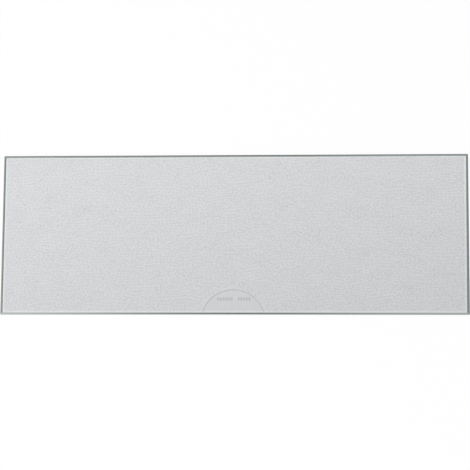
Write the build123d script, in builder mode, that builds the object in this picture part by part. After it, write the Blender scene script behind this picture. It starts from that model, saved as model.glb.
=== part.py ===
from build123d import *
import os

# Toughened-glass shelf for a refrigerator, lying flat with its textured face up.
# It is one pane of flat glass. Its edges are ground to a full round, a pencil edge, and its
# upright corners are dubbed. The upper face carries a texture of fused ceramic: a field inside a
# clear margin, and a thin line round a clear window at the middle of the front edge, where a hand
# takes hold of the pane.
# Millimetres. The origin is the centre of the underside, +X runs along the pane, +Y to the back.

# Pane
WIDTH = 475.0
DEPTH = 164.0
THICKNESS = 4.0
CORNER_RADIUS = 1.0  # dubbed upright corners

# Textured field of fused ceramic on the upper face
TEXTURE_RISE = 0.06
CLEAR_MARGIN = 1.4  # bare glass between the pencil edge and the texture
FIELD_CORNER_RADIUS = 0.8

# Clear window at the front edge
WINDOW_RADIUS = 32.4  # to the middle of the line
WINDOW_HEIGHT = 25.2  # from the front edge to the middle of the line at its top
LINE_WIDTH = 0.8
LINE_GAP = 0.7  # bare glass between the line and the textured field

# Values that follow from the sizes above
mid_height = THICKNESS / 2
edge_radius = THICKNESS / 2
field_width = WIDTH - 2 * (edge_radius + CLEAR_MARGIN)
field_depth = DEPTH - 2 * (edge_radius + CLEAR_MARGIN)
window_centre_y = -DEPTH / 2 + WINDOW_HEIGHT - WINDOW_RADIUS
upper_face = Plane.XY.offset(THICKNESS)

os.makedirs("parts", exist_ok=True)

with BuildPart() as glass_shelf:
    # Section along the pane, with the pencil edges of its two ends
    with BuildSketch(Plane.XZ):
        with Locations((0, mid_height)):
            SlotOverall(WIDTH, THICKNESS)
    extrude(amount=DEPTH / 2, both=True)

    # Section across the pane, with the pencil edges of its front and back
    with BuildSketch(Plane.YZ):
        with Locations((0, mid_height)):
            SlotOverall(DEPTH, THICKNESS)
    extrude(amount=WIDTH / 2, both=True, mode=Mode.INTERSECT)

    # Dubbed corners, ground straight up through the pencil edges
    with BuildSketch(Plane.XY):
        RectangleRounded(WIDTH, DEPTH, CORNER_RADIUS)
    extrude(amount=THICKNESS, mode=Mode.INTERSECT)

    # Textured field, left open round the window
    with BuildSketch(upper_face):
        RectangleRounded(field_width, field_depth, FIELD_CORNER_RADIUS)
        with Locations((0, window_centre_y)):
            Circle(WINDOW_RADIUS + LINE_WIDTH / 2 + LINE_GAP, mode=Mode.SUBTRACT)
    extrude(amount=TEXTURE_RISE)

    # Line round the window, ending level with the field
    with BuildSketch(upper_face):
        with Locations((0, window_centre_y)):
            Circle(WINDOW_RADIUS + LINE_WIDTH / 2)
            Circle(WINDOW_RADIUS - LINE_WIDTH / 2, mode=Mode.SUBTRACT)
        Rectangle(field_width, field_depth, mode=Mode.INTERSECT)
    extrude(amount=TEXTURE_RISE)

glass_shelf.part.label = "glass_shelf"
export_step(glass_shelf.part, "parts/glass_shelf.step")
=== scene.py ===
# Looks of a toughened-glass fridge shelf that lies flat on a white table, textured face up.
import math
import random
from itertools import groupby

import bmesh
import bpy
from mathutils import Matrix, Vector, noise


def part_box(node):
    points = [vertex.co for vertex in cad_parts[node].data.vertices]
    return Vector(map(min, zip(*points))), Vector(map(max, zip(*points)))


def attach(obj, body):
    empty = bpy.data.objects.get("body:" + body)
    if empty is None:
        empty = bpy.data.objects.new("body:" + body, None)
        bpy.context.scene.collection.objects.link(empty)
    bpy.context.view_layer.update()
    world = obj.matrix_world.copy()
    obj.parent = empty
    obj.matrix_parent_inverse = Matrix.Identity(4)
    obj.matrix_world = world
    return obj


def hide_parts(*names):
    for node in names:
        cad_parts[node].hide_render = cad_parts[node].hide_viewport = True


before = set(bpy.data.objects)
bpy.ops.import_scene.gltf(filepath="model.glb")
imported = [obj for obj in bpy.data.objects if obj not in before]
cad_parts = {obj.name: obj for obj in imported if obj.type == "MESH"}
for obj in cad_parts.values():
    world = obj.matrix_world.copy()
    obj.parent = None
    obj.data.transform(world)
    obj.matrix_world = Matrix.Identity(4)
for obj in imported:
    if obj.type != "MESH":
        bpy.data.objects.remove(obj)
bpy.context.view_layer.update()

# Metres, in the frame of the CAD part: +X along the pane, +Y to the back, +Z up
MM = 0.001

# Fused ceramic texture on the upper face
TEXTURE_RISE = 0.06 * MM
TEXTURE_BED = (0.001 * MM, 0.005 * MM)  # lowest and highest bed of a mark, so no two faces coincide
TEXTURE_SHOULDER = 0.14 * MM  # width of a mark's sloping rim

# Pane, measured on the frame
pane_low, pane_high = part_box("glass_shelf")
PANE_WIDTH = pane_high.x - pane_low.x
PANE_DEPTH = pane_high.y - pane_low.y
PANE_THICKNESS = pane_high.z - pane_low.z - TEXTURE_RISE
FRONT_EDGE = pane_low.y

# Pencil edge and dubbed corners
EDGE_RADIUS = PANE_THICKNESS / 2
EDGE_STEPS = 8  # flats in each quarter of the edge
EDGE_LAND = 0.01  # share of its radius that stays upright between the two quarters
EDGE_CREASE = math.radians(30.0)  # angle from which two faces meet in a sharp line
FLAT_NORMAL = 0.999  # upright share of its normal from which a face counts as flat
CORNER_RADIUS = 1.0 * MM
CORNER_STEPS = 5
DARK_END_WIDTH = 0.58 * MM  # width of the strip of the upper face along the right end that takes the dark finish of the end edges
DARK_END_SLANT = 0.0042  # and how much wider that gets, a metre towards the front

# Slots of the pane's finishes
UPPER_SLOT, UNDERSIDE_SLOT, STRIP_SLOT, FRONT_SLOT, BACK_SLOT, END_SLOT = range(6)

# Textured field: wavy rows of short bent marks
CLEAR_MARGIN = 1.4 * MM  # between the ground edge and the texture
BRIGHT_STRIP = 1.9 * MM  # along the rim, up to just under the texture
BACK_STRIP_TRIM = 0.6 * MM  # how much narrower that strip is along the back
FIELD_HALF_WIDTH = PANE_WIDTH / 2 - EDGE_RADIUS - CLEAR_MARGIN
FIELD_HALF_DEPTH = PANE_DEPTH / 2 - EDGE_RADIUS - CLEAR_MARGIN
MARK_PITCH = 3.7 * MM
MARK_ROW_PITCH = 2.9 * MM
MARK_STEP_SPREAD = 0.3  # how far a step to the next mark differs from the pitch, as a share of it
MARK_STRAY = 0.65 * MM  # how far a mark stands off its row
MARK_LENGTH = (3.0 * MM, 4.6 * MM)
MARK_WIDTH = (1.3 * MM, 1.7 * MM)
MARK_CORNER = 1.0 - math.sqrt(0.5)  # cut off each corner of a unit square to leave a regular octagon
MARK_BEND = 0.2 * MM  # most that the ends of a mark bend away from its middle
MARK_TURN = math.radians(38.0)  # spread of the marks' turns off their rows
MARK_SCRAP = 1.4 * MM * MM  # area under which the rest of a mark is left out
MARK_SEED = 20
ROW_WAVE = 3.5 * MM
ROW_WAVE_LENGTH = 22.0 * MM
SPARE_COLUMNS = 14  # for rows in which the marks follow each other closely

# Clear window at the front edge
WINDOW_RADIUS = 32.4 * MM
WINDOW_HEIGHT = 25.2 * MM
LINE_WIDTH = 0.8 * MM
LINE_GAP = 0.7 * MM
LINE_STEPS = 72
WINDOW_CENTRE = Vector((0.0, FRONT_EDGE + WINDOW_HEIGHT - WINDOW_RADIUS, PANE_THICKNESS))
FIELD_CUT_RADIUS = WINDOW_RADIUS + LINE_WIDTH / 2 + LINE_GAP

# Two groups of plain bars in the window
BAR_GROUPS = ((-8.4 * MM, 6), (10.9 * MM, 5))  # middle of each group and its number of bars
BAR_PITCH = 2.75 * MM
BAR_WIDTH = 1.3 * MM
BAR_HEIGHT = 3.2 * MM
BAR_ROW = FRONT_EDGE + 15.8 * MM
BAR_CORNER = 0.3 * MM

# Finishes
GLASS_IOR = 1.52
CERAMIC_IOR = 1.5
NOISE_SPAN = (0.3, 0.7)  # part of a noise over which a colour changes
WAVE_HEIGHT = 0.03 * MM  # of the slow waves that toughening leaves in glass
FIELD_BLOOM = 0.13  # share of white that the firing left on the glass between the marks
BLOOM_COLOUR = (0.92, 0.928, 0.945)
RIPPLE_HEIGHT = 0.14 * MM  # of the unevenness that the firing left there
RIPPLE_PITCH = 5.0 * MM
GRINDING_HEIGHT = 0.02 * MM
FRONT_CROWN = 1.55 * MM  # how far the painted light on the crown of an edge reaches from its middle
BACK_CROWN = 0.8 * MM
END_CROWN = 0.6 * MM
# painted light on the crown of a ground edge, where its round faces outward
CROWN_LIGHT_COLOUR = (0.52, 0.56, 0.555)
RUN_OUT = (0.98 * EDGE_RADIUS, 0.998 * EDGE_RADIUS)  # off the middle of an edge, where its round ends
RUN_OUT_COLOUR = (0.775, 0.828, 0.81)
GRAIN_HEIGHT = 0.005 * MM  # of the grain of fused ceramic

# Camera: the photograph's frame is square
CAMERA_PLACE = (0.1147, -0.2635, 1.7695)
CAMERA_TURN = (math.radians(8.469), math.radians(3.610), math.radians(0.413))
CAMERA_LENS_MM = 135.0
CAMERA_SENSOR_MM = 36.0

# Studio
WHITE = (1.0, 1.0, 1.0, 1.0)
FLOOR_COLOUR = (0.95, 0.95, 0.95, 1.0)
FLOOR_SIZE = 12.0
FLOOR_DROP = 0.2 * MM  # gap between the floor and the underside of the pane
FLOOR_SHADOW_SHARE = 0.07  # share of its own shade that the white floor shows
PAINTED_TABLE_LIGHT_LEVEL = 0.905  # painted light of the table under the middle of the pane, as the glass shows it
PAINTED_TABLE_LIGHT_SLOPE = (-0.25, 0.72, 0.0)  # how that painted light changes, a metre along each axis
PAINTED_TABLE_LIGHT_LEAST = 0.8  # darkest that it gets
DOME_STRENGTH = 0.8
LAMP_PLACE = (-0.75, -0.45, 0.7)
LAMP_POWER = 5.0
LAMP_SIZE = 0.8


def piece_from(bm, name, materials):
    """Makes a finished bmesh a piece of the object that moves with its only body."""
    mesh = bpy.data.meshes.new(name)
    bm.to_mesh(mesh)
    bm.free()
    for material in materials:
        mesh.materials.append(material)
    piece = bpy.data.objects.new(name, mesh)
    bpy.context.scene.collection.objects.link(piece)
    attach(piece, "root")
    return piece


class Finish:
    """A material whose node tree is filled by short calls."""

    def __init__(self, name):
        self.material = bpy.data.materials.new(name)
        self.material.use_nodes = True
        self.nodes = self.material.node_tree.nodes
        self.links = self.material.node_tree.links
        self.shader = self.nodes["Principled BSDF"]

    def node(self, kind, **settings):
        """Adds a node. Settings that name an input set it, and others set a property."""
        node = self.nodes.new(kind)
        for key, value in settings.items():
            label = key.replace("_", " ").title()
            if label in node.inputs:
                node.inputs[label].default_value = value
            else:
                setattr(node, key, value)
        return node

    def link(self, output, target):
        self.links.new(output, target)

    def set(self, **sockets):
        """Sets the shader's own sockets."""
        for key, value in sockets.items():
            self.shader.inputs[key.replace("_", " ")].default_value = value

    def noise(self, scale, stretch=(1.0, 1.0, 1.0), detail=2.0):
        """Noise on Object coordinates, with so many features a metre along each axis."""
        place = self.node("ShaderNodeTexCoord")
        stretched = self.node("ShaderNodeMapping", scale=stretch)
        noise_node = self.node("ShaderNodeTexNoise", scale=scale, detail=detail)
        self.link(place.outputs["Object"], stretched.inputs["Vector"])
        self.link(stretched.outputs["Vector"], noise_node.inputs["Vector"])
        return noise_node.outputs["Fac"]

    def colour_between(self, amount, low, high):
        """Base colour that runs between two colours with the amount."""
        ramp = self.node("ShaderNodeValToRGB")
        for stop, place, colour in zip(ramp.color_ramp.elements, NOISE_SPAN, (low, high)):
            stop.position = place
            stop.color = (*colour, 1.0)
        self.link(amount, ramp.inputs["Fac"])
        self.link(ramp.outputs["Color"], self.shader.inputs["Base Color"])

    def off_middle(self, axis, middle=0.0):
        """Distance from the middle along one axis of the Object coordinates."""
        place = self.node("ShaderNodeTexCoord")
        axes = self.node("ShaderNodeSeparateXYZ")
        beyond = self.node("ShaderNodeMath", operation="SUBTRACT")
        beyond.inputs[1].default_value = middle
        distance = self.node("ShaderNodeMath", operation="ABSOLUTE")
        self.link(place.outputs["Object"], axes.inputs["Vector"])
        self.link(axes.outputs[axis], beyond.inputs[0])
        self.link(beyond.outputs["Value"], distance.inputs[0])
        return distance.outputs["Value"]

    def off_point(self, point):
        """Distance from a point of the Object coordinates."""
        place = self.node("ShaderNodeTexCoord")
        distance = self.node("ShaderNodeVectorMath", operation="DISTANCE")
        distance.inputs[1].default_value = point
        self.link(place.outputs["Object"], distance.inputs[0])
        return distance.outputs["Value"]

    def fade(self, distance, start, end, most=1.0):
        """Share that rises from 0 at the start distance to the most at the end distance."""
        share = self.node("ShaderNodeMapRange", interpolation_type="SMOOTHSTEP")
        share.inputs["From Min"].default_value = start
        share.inputs["From Max"].default_value = end
        share.inputs["To Max"].default_value = most
        self.link(distance, share.inputs["Value"])
        return share.outputs["Result"]

    def pale(self, share, colour):
        """Mixes the share of a paler colour into the base colour."""
        paler = self.node("ShaderNodeMix", data_type="RGBA")
        paler.inputs["B"].default_value = (*colour, 1.0)
        self.link(share, paler.inputs["Factor"])
        self.link(self.shader.inputs["Base Color"].links[0].from_socket, paler.inputs["A"])
        self.link(paler.outputs["Result"], self.shader.inputs["Base Color"])

    def roughness_between(self, amount, low, high):
        """Roughness that runs between two values with the amount."""
        span = self.node("ShaderNodeMapRange")
        span.inputs["To Min"].default_value = low
        span.inputs["To Max"].default_value = high
        self.link(amount, span.inputs["Value"])
        self.link(span.outputs["Result"], self.shader.inputs["Roughness"])

    def bump(self, amount, distance):
        """Adds a relief of that height to the ones that the surface has."""
        bump = self.node("ShaderNodeBump", distance=distance)
        self.link(amount, bump.inputs["Height"])
        for earlier in self.shader.inputs["Normal"].links:
            self.link(earlier.from_socket, bump.inputs["Normal"])
        self.link(bump.outputs["Normal"], self.shader.inputs["Normal"])
        return bump


def toughened_glass_finish(name, low, high, clearness):
    """Glass with the slow waves that toughening leaves in it. What isn't clear is a satin bloom."""
    finish = Finish(name)
    finish.set(IOR=GLASS_IOR, Transmission_Weight=clearness)
    waves = finish.noise(scale=18.0, stretch=(1.0, 0.4, 1.0), detail=1.0)
    smears = finish.noise(scale=60.0, detail=3.0)
    finish.colour_between(smears, low, high)
    finish.roughness_between(smears, low=0.05, high=0.09)
    finish.bump(waves, WAVE_HEIGHT)
    return finish


def satin_glass_finish():
    """Upper face, paler and uneven from the firing outside the window."""
    low, high = (0.665, 0.671, 0.692), (0.681, 0.687, 0.708)
    finish = toughened_glass_finish("satin_glass", low, high, clearness=0.8)
    border = (FIELD_CUT_RADIUS - LINE_GAP, FIELD_CUT_RADIUS)
    reach = finish.off_point(WINDOW_CENTRE)
    finish.pale(finish.fade(reach, *border, FIELD_BLOOM), BLOOM_COLOUR)
    ripple = finish.bump(finish.noise(scale=1.0 / RIPPLE_PITCH, detail=1.0), RIPPLE_HEIGHT)
    finish.link(finish.fade(reach, *border), ripple.inputs["Strength"])
    return finish.material


def clear_glass_finish():
    """Underside, as it left the float line."""
    low, high = (0.786, 0.792, 0.808), (0.806, 0.812, 0.828)
    return toughened_glass_finish("clear_glass", low, high, clearness=1.0).material


def margin_glass_finish():
    """Bare strip along the rim, bright and green with the light that enters at the ground edge."""
    low, high = (0.865, 0.955, 0.925), (0.885, 0.975, 0.945)
    return toughened_glass_finish("margin_glass", low, high, clearness=1.0).material


def ground_edge_finish(name, low, high, crown):
    """Matt glass where the wheel has ground the edge round, with painted light that makes it paler along
    its crown.
    """
    finish = Finish(name)
    grinding = finish.noise(scale=900.0, stretch=(0.25, 0.25, 2.0), detail=2.0)
    finish.colour_between(grinding, low, high)
    off_crown = finish.off_middle("Z", EDGE_RADIUS)
    # painted light along the crown of the edge
    finish.pale(finish.fade(off_crown, crown, crown / 2), CROWN_LIGHT_COLOUR)
    finish.roughness_between(grinding, low=0.45, high=0.65)
    finish.bump(grinding, GRINDING_HEIGHT)
    finish.set(IOR=GLASS_IOR)
    return finish


def short_edge_finish():
    """Edge at either end of the pane."""
    low, high = (0.195, 0.217, 0.215), (0.230, 0.254, 0.252)
    return ground_edge_finish("short_edge", low, high, END_CROWN).material


def long_edge_finish(name, crown, painted_reflection_ends):
    """Edge along the front or back, with a painted reflection that leaves it darker in the middle and
    paler towards its ends.
    """
    low, high = (0.130, 0.146, 0.145), (0.155, 0.172, 0.170)
    finish = ground_edge_finish(name, low, high, crown)
    # painted reflection: darker in the middle of the edge, paler towards its ends
    finish.pale(finish.fade(finish.off_middle("X"), 0.0, PANE_WIDTH / 2), painted_reflection_ends)
    return finish


def front_edge_finish():
    return long_edge_finish("front_edge", FRONT_CROWN, painted_reflection_ends=(0.366, 0.392, 0.393)).material


def back_edge_finish():
    """Edge along the back, paler again where its round runs out into the faces."""
    finish = long_edge_finish("back_edge", BACK_CROWN, painted_reflection_ends=(0.212, 0.243, 0.236))
    finish.pale(finish.fade(finish.off_middle("Z", EDGE_RADIUS), *RUN_OUT), RUN_OUT_COLOUR)
    return finish.material


def fused_ceramic_finish(name, low, high, cover):
    """Ceramic that was printed on the glass and fused to it, in a coat of the given cover."""
    finish = Finish(name)
    grain = finish.noise(scale=1500.0, detail=2.0)
    finish.colour_between(grain, low, high)
    finish.roughness_between(grain, low=0.45, high=0.6)
    finish.bump(grain, GRAIN_HEIGHT)
    finish.set(IOR=CERAMIC_IOR, Alpha=cover)
    return finish.material


def grey_ceramic_finish():
    """Dark frit, in a coat so thin that it only greys the glass."""
    low, high = (0.040, 0.041, 0.042), (0.060, 0.061, 0.062)
    return fused_ceramic_finish("grey_ceramic", low, high, cover=0.031)


def line_ceramic_finish():
    low, high = (0.43, 0.44, 0.45), (0.47, 0.48, 0.49)
    return fused_ceramic_finish("line_ceramic", low, high, cover=1.0)


def bar_ceramic_finish():
    low, high = (0.40, 0.41, 0.42), (0.44, 0.45, 0.46)
    return fused_ceramic_finish("bar_ceramic", low, high, cover=1.0)


def make_glass_pane():
    """Pane with pencil edges, dubbed corners and a clear margin round its upper face."""
    bm = bmesh.new()
    bmesh.ops.create_cube(bm, size=1.0)
    bmesh.ops.scale(bm, verts=bm.verts, vec=(PANE_WIDTH, PANE_DEPTH, PANE_THICKNESS))
    bmesh.ops.translate(bm, verts=bm.verts, vec=(0.0, 0.0, PANE_THICKNESS / 2))
    grind_pencil_edge(bm)
    for side_x in (-1, 1):
        for side_y in (-1, 1):
            dub_corner(bm, side_x, side_y)
    bm.normal_update()
    for face in bm.faces:
        face.smooth = abs(face.normal.z) < FLAT_NORMAL
        face.material_index = edge_slot(face.normal)
    min(bm.faces, key=height_of).material_index = UNDERSIDE_SLOT
    divide_upper_face(bm)
    finishes = (
        satin_glass_finish(),
        clear_glass_finish(),
        margin_glass_finish(),
        front_edge_finish(),
        back_edge_finish(),
        short_edge_finish(),
    )
    pane = piece_from(bm, "glass_pane", finishes)
    pane.data.set_sharp_from_angle(angle=EDGE_CREASE)
    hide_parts("glass_shelf")


def grind_pencil_edge(bm):
    """Rounds the rims of both faces until the two rounds all but meet."""
    rims = [e for e in bm.edges if e.verts[0].co.z == e.verts[1].co.z]
    bmesh.ops.bevel(
        bm,
        geom=rims,
        offset=EDGE_RADIUS * (1.0 - EDGE_LAND),
        offset_type="OFFSET",
        segments=EDGE_STEPS,
        profile=0.5,
        affect="EDGES",
        material=-1,
    )


def dub_corner(bm, side_x, side_y):
    """Grinds one upright corner round, in a few flats."""
    pivot = Vector((side_x * PANE_WIDTH / 2, side_y * PANE_DEPTH / 2, 0.0))
    pivot -= Vector((side_x, side_y, 0.0)) * CORNER_RADIUS
    for step in range(CORNER_STEPS):
        turn = math.radians(90.0) * (step + 0.5) / CORNER_STEPS
        outward = Vector((side_x * math.cos(turn), side_y * math.sin(turn), 0.0))
        bmesh.ops.bisect_plane(
            bm,
            geom=[*bm.verts, *bm.edges, *bm.faces],
            plane_co=pivot + outward * CORNER_RADIUS,
            plane_no=outward,
            clear_outer=True,
        )
        bmesh.ops.holes_fill(bm, edges=[e for e in bm.edges if e.is_boundary], sides=0)


def edge_slot(normal):
    """Slot of the ground edge that faces this way."""
    if abs(normal.x) > abs(normal.y):
        return END_SLOT
    return FRONT_SLOT if normal.y < 0.0 else BACK_SLOT


def height_of(face):
    return face.calc_center_median().z


def divide_upper_face(bm):
    """Parts a dark strip along the right end and the bright strip from the upper face."""
    upper_face = max(bm.faces, key=height_of)
    bmesh.ops.bisect_plane(
        bm,
        geom=[upper_face, *upper_face.edges, *upper_face.verts],
        plane_co=(PANE_WIDTH / 2 - EDGE_RADIUS - DARK_END_WIDTH, 0.0, PANE_THICKNESS),
        plane_no=(1.0, -DARK_END_SLANT, 0.0),
    )
    bm.normal_update()
    flat_tops = [face for face in bm.faces if face.normal.z > FLAT_NORMAL]
    dark_end_face, upper_face = sorted(flat_tops, key=lambda face: face.calc_area())
    dark_end_face.material_index = END_SLOT
    upper_face.material_index = UPPER_SLOT
    strip = bmesh.ops.inset_region(
        bm, faces=[upper_face], thickness=BRIGHT_STRIP, use_even_offset=True
    )["faces"]
    for face in strip:
        face.material_index = STRIP_SLOT
    back_rim = [vert for vert in upper_face.verts if vert.co.y > 0.0]
    bmesh.ops.translate(bm, verts=back_rim, vec=(0.0, BACK_STRIP_TRIM, 0.0))


def make_texture_marks(ceramic):
    """Short bent marks in wavy rows over the field, each a low plateau with sloping rims."""
    columns = math.ceil(2 * FIELD_HALF_WIDTH / MARK_PITCH) + SPARE_COLUMNS
    rows = math.ceil(2 * (FIELD_HALF_DEPTH + ROW_WAVE) / MARK_ROW_PITCH)
    bm = make_octagons(columns, rows)
    rng = random.Random(MARK_SEED)
    for row, marks in groupby(sorted(bm.faces, key=row_then_column), key=row_of):
        middle = Vector((-FIELD_HALF_WIDTH - rng.uniform(0.0, MARK_PITCH), 0.0))
        for mark in marks:
            middle.x += MARK_PITCH * (1.0 + rng.uniform(-MARK_STEP_SPREAD, MARK_STEP_SPREAD))
            middle.y = (row + 0.5 - rows / 2) * MARK_ROW_PITCH
            middle.y += ROW_WAVE * noise.noise(middle.to_3d() / ROW_WAVE_LENGTH)
            middle.y += rng.uniform(-MARK_STRAY, MARK_STRAY)
            lay_mark(mark, middle, rng)
    over_window = [mark for mark in bm.faces if not off_window(mark)]
    bmesh.ops.delete(bm, geom=over_window, context="FACES")
    trim_to_field(bm)
    raise_print(bm, TEXTURE_RISE - TEXTURE_BED[1])
    piece_from(bm, "texture_marks", [ceramic])


def make_octagons(columns, rows):
    """Loose octagons, one in each unit cell of a grid that starts at the origin."""
    bm = bmesh.new()
    cells = Matrix.Translation((columns / 2, rows / 2, 0.0)) @ Matrix.Diagonal((columns, rows, 1.0, 1.0))
    bmesh.ops.create_grid(bm, x_segments=columns, y_segments=rows, size=0.5, matrix=cells)
    bmesh.ops.split_edges(bm, edges=bm.edges)
    bmesh.ops.bevel(
        bm,
        geom=bm.verts[:],
        offset=MARK_CORNER,
        offset_type="OFFSET",
        segments=1,
        profile=0.5,
        affect="VERTICES",
        material=-1,
    )
    return bm


def row_of(mark):
    return math.floor(mark.calc_center_median().y)


def row_then_column(mark):
    return row_of(mark), mark.calc_center_median().x


def lay_mark(mark, middle, rng):
    """Gives an octagon the size, bend and turn of a mark, and lays it on the glass."""
    cell = mark.calc_center_median()
    length = rng.uniform(*MARK_LENGTH)
    width = rng.uniform(*MARK_WIDTH)
    bend = rng.uniform(-MARK_BEND, MARK_BEND)
    turn = Matrix.Rotation(rng.gauss(0.0, MARK_TURN), 2)
    bed = PANE_THICKNESS + rng.uniform(*TEXTURE_BED)
    for vert in mark.verts:
        along, across = (vert.co - cell).xy
        bow = 4 * along * along - 0.5  # from -0.5 at the middle of the mark to 0.5 at its ends
        flat = turn @ Vector((along * length, across * width + bend * bow))
        vert.co = (*(middle + flat), bed)


def off_window(mark):
    """True where a mark lies wholly outside the window and its line."""
    return all((vert.co.xy - WINDOW_CENTRE.xy).length > FIELD_CUT_RADIUS for vert in mark.verts)


def trim_to_field(bm):
    """Cuts the marks off along the straight borders of the field."""
    for side in (-1.0, 1.0):
        for border in (Vector((FIELD_HALF_WIDTH, 0.0, 0.0)), Vector((0.0, FIELD_HALF_DEPTH, 0.0))):
            bmesh.ops.bisect_plane(
                bm,
                geom=[*bm.verts, *bm.edges, *bm.faces],
                plane_co=side * border,
                plane_no=side * border.normalized(),
                clear_outer=True,
            )
    scraps = [mark for mark in bm.faces if mark.calc_area() < MARK_SCRAP]
    bmesh.ops.delete(bm, geom=scraps, context="FACES")


def raise_print(bm, rise):
    """Turns flat outlines on the glass into closed plateaus with sloping rims."""
    bm.normal_update()
    bmesh.ops.reverse_faces(bm, faces=[f for f in bm.faces if f.normal.z < 0.0])
    bmesh.ops.inset_individual(
        bm, faces=bm.faces, thickness=TEXTURE_SHOULDER, depth=rise, use_even_offset=False
    )
    bmesh.ops.holes_fill(bm, edges=[e for e in bm.edges if e.is_boundary], sides=0)
    bmesh.ops.recalc_face_normals(bm, faces=bm.faces)


def make_window_line(ceramic):
    """Raised line round the window, from one end of the field's front border to the other."""
    bm = bmesh.new()
    base = PANE_THICKNESS + TEXTURE_BED[0]
    top = PANE_THICKNESS + TEXTURE_RISE
    half = LINE_WIDTH / 2
    section = (
        (-half, base),
        (half, base),
        (half - TEXTURE_SHOULDER, top),
        (TEXTURE_SHOULDER - half, top),
    )
    end_angle = math.asin((-FIELD_HALF_DEPTH - WINDOW_CENTRE.y) / WINDOW_RADIUS)
    start = Vector((math.cos(end_angle), math.sin(end_angle), 0.0))
    corners = [Vector((*WINDOW_CENTRE.xy, z)) + start * (WINDOW_RADIUS + r) for r, z in section]
    cap = bm.faces.new([bm.verts.new(corner) for corner in corners])
    bmesh.ops.spin(
        bm,
        geom=[cap, *cap.edges, *cap.verts],
        cent=WINDOW_CENTRE,
        axis=(0.0, 0.0, 1.0),
        angle=math.pi - 2 * end_angle,
        steps=LINE_STEPS,
    )
    bmesh.ops.holes_fill(bm, edges=[e for e in bm.edges if e.is_boundary], sides=0)
    bmesh.ops.recalc_face_normals(bm, faces=bm.faces)
    piece_from(bm, "window_line", [ceramic])


def make_window_bars(ceramic):
    """Two groups of short plain bars in the clear window."""
    bm = bmesh.new()
    for group_middle, count in BAR_GROUPS:
        for number in range(count):
            x = group_middle + (number - (count - 1) / 2) * BAR_PITCH
            place = Matrix.Translation((x, BAR_ROW, PANE_THICKNESS + TEXTURE_BED[0]))
            shape = place @ Matrix.Diagonal((BAR_WIDTH, BAR_HEIGHT, 1.0, 1.0))
            bmesh.ops.create_grid(bm, x_segments=1, y_segments=1, size=0.5, matrix=shape)
    bmesh.ops.bevel(
        bm,
        geom=bm.verts[:],
        offset=BAR_CORNER,
        offset_type="OFFSET",
        segments=2,
        profile=0.5,
        affect="VERTICES",
        material=-1,
    )
    raise_print(bm, TEXTURE_RISE - TEXTURE_BED[0])
    piece_from(bm, "window_bars", [ceramic])


def make_floor():
    """White table top, seen white, that still takes a light shadow of the pane."""
    bm = bmesh.new()
    bmesh.ops.create_grid(bm, x_segments=1, y_segments=1, size=FLOOR_SIZE / 2)
    bmesh.ops.translate(bm, verts=bm.verts, vec=(0.0, 0.0, -FLOOR_DROP))
    mesh = bpy.data.meshes.new("floor")
    bm.to_mesh(mesh)
    bm.free()
    mesh.materials.append(white_floor_finish())
    floor = bpy.data.objects.new("floor", mesh)
    bpy.context.scene.collection.objects.link(floor)


def white_floor_finish():
    """White where the camera sees it or sees it mirrored, painted light that falls off towards the front
    right where it is seen through glass, and matt for other light.
    """
    finish = Finish("white_floor")
    finish.nodes.remove(finish.shader)
    path = finish.node("ShaderNodeLightPath")
    white = finish.node("ShaderNodeEmission", color=WHITE)
    painted_light_under_glass = finish.node("ShaderNodeEmission", color=WHITE)
    # painted light: seen through glass, the table falls off towards the front right
    finish.link(painted_table_light(finish), painted_light_under_glass.inputs["Strength"])
    seen = finish.node("ShaderNodeMixShader")
    finish.link(path.outputs["Is Transmission Ray"], seen.inputs["Fac"])
    finish.link(white.outputs["Emission"], seen.inputs[1])
    finish.link(painted_light_under_glass.outputs["Emission"], seen.inputs[2])
    mirrored = finish.node("ShaderNodeMath", operation="MAXIMUM")
    finish.link(path.outputs["Is Camera Ray"], mirrored.inputs[0])
    finish.link(path.outputs["Is Glossy Ray"], mirrored.inputs[1])
    through = finish.node("ShaderNodeMath", operation="MAXIMUM")
    finish.link(mirrored.outputs["Value"], through.inputs[0])
    finish.link(path.outputs["Is Transmission Ray"], through.inputs[1])
    share = finish.node("ShaderNodeMath", operation="MULTIPLY")
    share.inputs[1].default_value = 1.0 - FLOOR_SHADOW_SHARE
    finish.link(through.outputs["Value"], share.inputs[0])
    matt = finish.node("ShaderNodeBsdfDiffuse", color=FLOOR_COLOUR)
    mix = finish.node("ShaderNodeMixShader")
    finish.link(share.outputs["Value"], mix.inputs["Fac"])
    finish.link(matt.outputs["BSDF"], mix.inputs[1])
    finish.link(seen.outputs["Shader"], mix.inputs[2])
    finish.link(mix.outputs["Shader"], finish.nodes["Material Output"].inputs["Surface"])
    return finish.material


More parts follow.
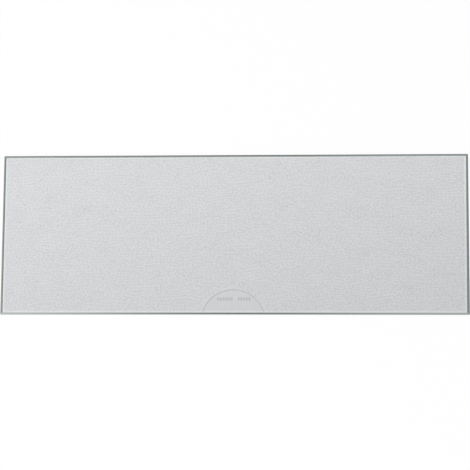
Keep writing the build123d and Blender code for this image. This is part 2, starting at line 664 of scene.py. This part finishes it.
def painted_table_light(finish):
    """Painted light on the table under the glass, which falls off towards the front right."""
    place = finish.node("ShaderNodeTexCoord")
    slope = finish.node("ShaderNodeVectorMath", operation="DOT_PRODUCT")
    slope.inputs[1].default_value = PAINTED_TABLE_LIGHT_SLOPE
    finish.link(place.outputs["Object"], slope.inputs[0])
    level = finish.node("ShaderNodeMath", operation="ADD")
    level.inputs[1].default_value = PAINTED_TABLE_LIGHT_LEVEL
    finish.link(slope.outputs["Value"], level.inputs[0])
    clamp = finish.node("ShaderNodeClamp", min=PAINTED_TABLE_LIGHT_LEAST)
    finish.link(level.outputs["Value"], clamp.inputs["Value"])
    return clamp.outputs["Result"]


def make_studio_dome():
    """Even dome of soft light, seen white by the camera."""
    world = bpy.data.worlds.new("studio_dome")
    bpy.context.scene.world = world
    world.use_nodes = True
    nodes = world.node_tree.nodes
    links = world.node_tree.links
    nodes.clear()
    dome = nodes.new("ShaderNodeBackground")
    dome.inputs["Strength"].default_value = DOME_STRENGTH
    white = nodes.new("ShaderNodeBackground")
    for background in (dome, white):
        background.inputs["Color"].default_value = WHITE
    path = nodes.new("ShaderNodeLightPath")
    mix = nodes.new("ShaderNodeMixShader")
    links.new(path.outputs["Is Camera Ray"], mix.inputs["Fac"])
    links.new(dome.outputs["Background"], mix.inputs[1])
    links.new(white.outputs["Background"], mix.inputs[2])
    output = nodes.new("ShaderNodeOutputWorld")
    links.new(mix.outputs["Shader"], output.inputs["Surface"])


def make_soft_lamp():
    """Square soft lamp at the front left that points at the middle of the pane."""
    data = bpy.data.lights.new("soft_lamp", "AREA")
    data.energy = LAMP_POWER
    data.size = LAMP_SIZE
    lamp = bpy.data.objects.new("soft_lamp", data)
    lamp.location = LAMP_PLACE
    lamp.rotation_euler = Vector(LAMP_PLACE).to_track_quat("Z", "Y").to_euler()
    bpy.context.scene.collection.objects.link(lamp)


def make_camera():
    """Camera at the photograph's view, tilted a little off straight down."""
    data = bpy.data.cameras.new("camera")
    data.lens = CAMERA_LENS_MM
    data.sensor_width = CAMERA_SENSOR_MM
    camera = bpy.data.objects.new("camera", data)
    camera.location = CAMERA_PLACE
    camera.rotation_euler = CAMERA_TURN
    bpy.context.scene.collection.objects.link(camera)
    bpy.context.scene.camera = camera


make_camera()
make_glass_pane()
make_texture_marks(grey_ceramic_finish())
make_window_line(line_ceramic_finish())
make_window_bars(bar_ceramic_finish())
make_floor()
make_studio_dome()
make_soft_lamp()
bpy.context.scene.view_settings.view_transform = "Standard"
